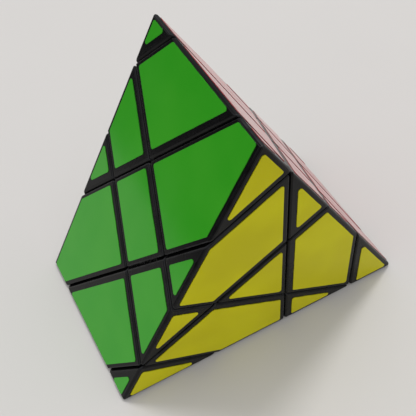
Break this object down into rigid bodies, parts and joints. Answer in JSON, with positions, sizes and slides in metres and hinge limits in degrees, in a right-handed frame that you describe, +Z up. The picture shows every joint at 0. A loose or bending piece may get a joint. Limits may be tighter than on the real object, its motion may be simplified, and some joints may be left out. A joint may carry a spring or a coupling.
{
  "type": "prism twisty puzzle",
  "caption": "Triangular-prism twisty puzzle with angled layers that turn on a sprung six-armed core; black plastic pieces with coloured vinyl stickers.",
  "frame": {"origin": "centre of the rectangular face that the puzzle rests on, on the outer surface of its stickers", "axes": "+Z up through the opposite long edge, -Y out of the yellow triangular end, +X along the width of the resting face towards the red and blue edge"},
  "size_m": [0.0912, 0.0548, 0.0793],
  "materials": {
    "black_plastic": "moulded black plastic, semi-gloss, lighter where the edges are polished by handling",
    "core_plastic": "off-white moulded plastic, satin",
    "screw_steel": "zinc-plated steel",
    "spring_steel": "bright drawn spring wire",
    "yellow_vinyl": "glossy yellow vinyl sheet",
    "white_vinyl": "glossy white vinyl sheet",
    "green_vinyl": "glossy green vinyl sheet",
    "red_vinyl": "glossy red vinyl sheet",
    "blue_vinyl": "glossy blue vinyl sheet"
  },
  "bodies": {
    "core_and_middle_layer": {"core": "core_plastic", "screws": "screw_steel", "springs": "spring_steel", "washers": "screw_steel", "edge_yellow_blue": "black_plastic", "edge_white_red": "black_plastic", "edge_red_blue": "black_plastic", "edge_green": "black_plastic", "centre_yellow_green": "black_plastic", "centre_yellow_blue": "black_plastic", "centre_white_green": "black_plastic", "centre_white_red": "black_plastic", "cap_yellow_green": "black_plastic", "cap_yellow_blue": "black_plastic", "cap_white_green": "black_plastic", "cap_white_red": "black_plastic", "stickers_yellow_middle": "yellow_vinyl", "stickers_white_middle": "white_vinyl", "stickers_green_middle": "green_vinyl", "stickers_red_middle": "red_vinyl", "stickers_blue_middle": "blue_vinyl"},
    "upper_layer": {"corner_yellow": "black_plastic", "corner_yellow_green_red": "black_plastic", "corner_yellow_red_blue": "black_plastic", "corner_white_green_red": "black_plastic", "edge_yellow_green": "black_plastic", "edge_yellow_red": "black_plastic", "edge_green_red": "black_plastic", "edge_red": "black_plastic", "centre_yellow_red": "black_plastic", "cap_yellow_red": "black_plastic", "stickers_yellow_upper": "yellow_vinyl", "stickers_white_upper": "white_vinyl", "stickers_green_upper": "green_vinyl", "stickers_red_upper": "red_vinyl", "stickers_blue_upper": "blue_vinyl"},
    "lower_layer": {"corner_white": "black_plastic", "corner_yellow_green_blue": "black_plastic", "corner_white_green_blue": "black_plastic", "corner_white_red_blue": "black_plastic", "edge_white_green": "black_plastic", "edge_white_blue": "black_plastic", "edge_green_blue": "black_plastic", "edge_blue": "black_plastic", "centre_white_blue": "black_plastic", "cap_white_blue": "black_plastic", "stickers_yellow_lower": "yellow_vinyl", "stickers_white_lower": "white_vinyl", "stickers_green_lower": "green_vinyl", "stickers_red_lower": "red_vinyl", "stickers_blue_lower": "blue_vinyl"}
  },
  "joints": [
    {"name": "upper_layer_turn", "type": "hinge", "parent": "core_and_middle_layer", "child": "upper_layer", "pos_m": [0, 0, 0.02681], "axis": [0.4082, -0.5774, 0.7071], "continuous": true},
    {"name": "lower_layer_turn", "type": "hinge", "parent": "core_and_middle_layer", "child": "lower_layer", "pos_m": [0, 0, 0.02681], "axis": [-0.4082, 0.5774, -0.7071], "continuous": true}
  ]
}
